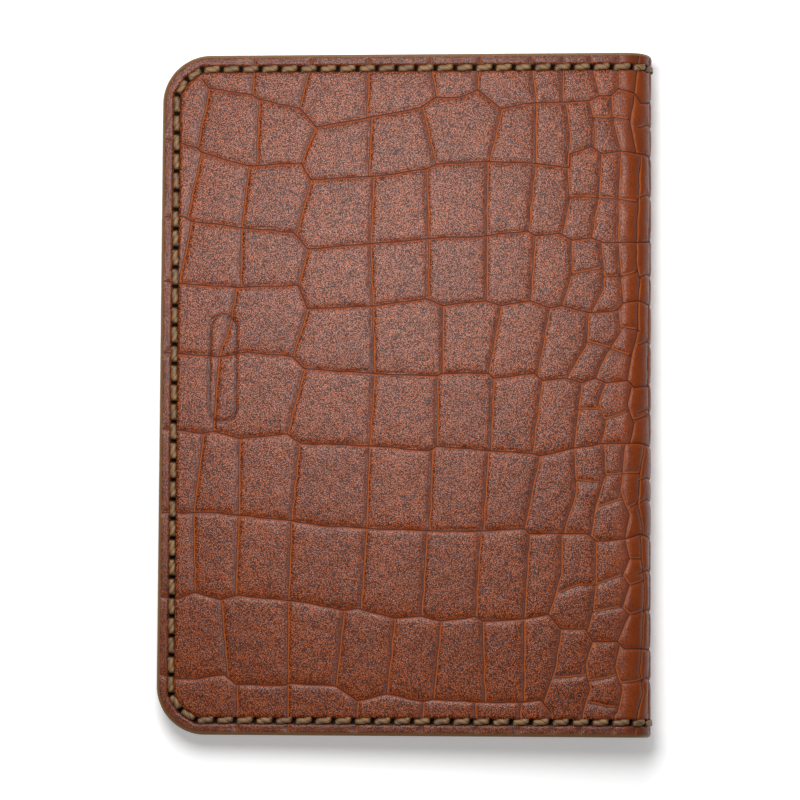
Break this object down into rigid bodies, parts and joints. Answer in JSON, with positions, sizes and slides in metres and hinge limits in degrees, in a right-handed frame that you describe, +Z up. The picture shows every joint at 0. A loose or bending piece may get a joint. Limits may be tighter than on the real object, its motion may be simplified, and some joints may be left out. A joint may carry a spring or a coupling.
{
  "type": "leather notebook cover",
  "caption": "Bifold leather notebook cover with a crocodile-embossed grain, a full lining, inner pockets, a saddle-stitched rim and a spine that folds from shut to flat.",
  "frame": {"origin": "centre of the shut cover's box at its lowest face, the outside of the front cover", "axes": "+X towards the spine, +Y towards the head along the spine, +Z up from the front cover to the back cover"},
  "size_m": [0.1012, 0.14, 0.0112],
  "materials": {
    "embossed_leather": "crocodile-embossed, waxed satin",
    "lining_leather": "smooth, matt",
    "pocket_leather": "smooth, satin",
    "waxed_thread": "waxed, twisted"
  },
  "bodies": {
    "front_cover": {"front_leather": "embossed_leather", "front_lining": "lining_leather", "front_pocket": "pocket_leather", "front_thread_head": "waxed_thread", "front_thread_fore_edge": "waxed_thread", "front_thread_foot": "waxed_thread"},
    "spine_1": {"spine_leather_1": "embossed_leather", "spine_lining_1": "lining_leather", "spine_thread_head_1": "waxed_thread", "spine_thread_foot_1": "waxed_thread"},
    "spine_2": {"spine_leather_2": "embossed_leather", "spine_lining_2": "lining_leather", "spine_thread_head_2": "waxed_thread", "spine_thread_foot_2": "waxed_thread"},
    "spine_3": {"spine_leather_3": "embossed_leather", "spine_lining_3": "lining_leather", "spine_thread_head_3": "waxed_thread", "spine_thread_foot_3": "waxed_thread"},
    "spine_4": {"spine_leather_4": "embossed_leather", "spine_lining_4": "lining_leather", "spine_thread_head_4": "waxed_thread", "spine_thread_foot_4": "waxed_thread"},
    "back_cover": {"back_leather": "embossed_leather", "back_lining": "lining_leather", "back_pocket": "pocket_leather", "back_thread_head": "waxed_thread", "back_thread_fore_edge": "waxed_thread", "back_thread_foot": "waxed_thread"}
  },
  "joints": [
    {"name": "spine_fold_1", "type": "hinge", "parent": "front_cover", "child": "spine_1", "pos_m": [0.04633, 0, 0.001], "axis": [0, 1, 0], "range_deg": [0, 36.48]},
    {"name": "spine_fold_2", "type": "hinge", "parent": "spine_1", "child": "spine_2", "pos_m": [0.04875, 0, 0.00278], "axis": [0, 1, 0], "range_deg": [0, 36.48]},
    {"name": "spine_fold_3", "type": "hinge", "parent": "spine_2", "child": "spine_3", "pos_m": [0.04963, 0, 0.00565], "axis": [0, 1, 0], "range_deg": [0, 36.48]},
    {"name": "spine_fold_4", "type": "hinge", "parent": "spine_3", "child": "spine_4", "pos_m": [0.04863, 0, 0.00848], "axis": [0, 1, 0], "range_deg": [0, 36.48]},
    {"name": "spine_fold_5", "type": "hinge", "parent": "spine_4", "child": "back_cover", "pos_m": [0.04614, 0, 0.01016], "axis": [0, 1, 0], "range_deg": [0, 36.48]}
  ],
  "couplings": [
    {"joint": "spine_fold_2", "follows": "spine_fold_1", "ratio": 1},
    {"joint": "spine_fold_3", "follows": "spine_fold_1", "ratio": 1},
    {"joint": "spine_fold_4", "follows": "spine_fold_1", "ratio": 1},
    {"joint": "spine_fold_5", "follows": "spine_fold_1", "ratio": 1}
  ]
}
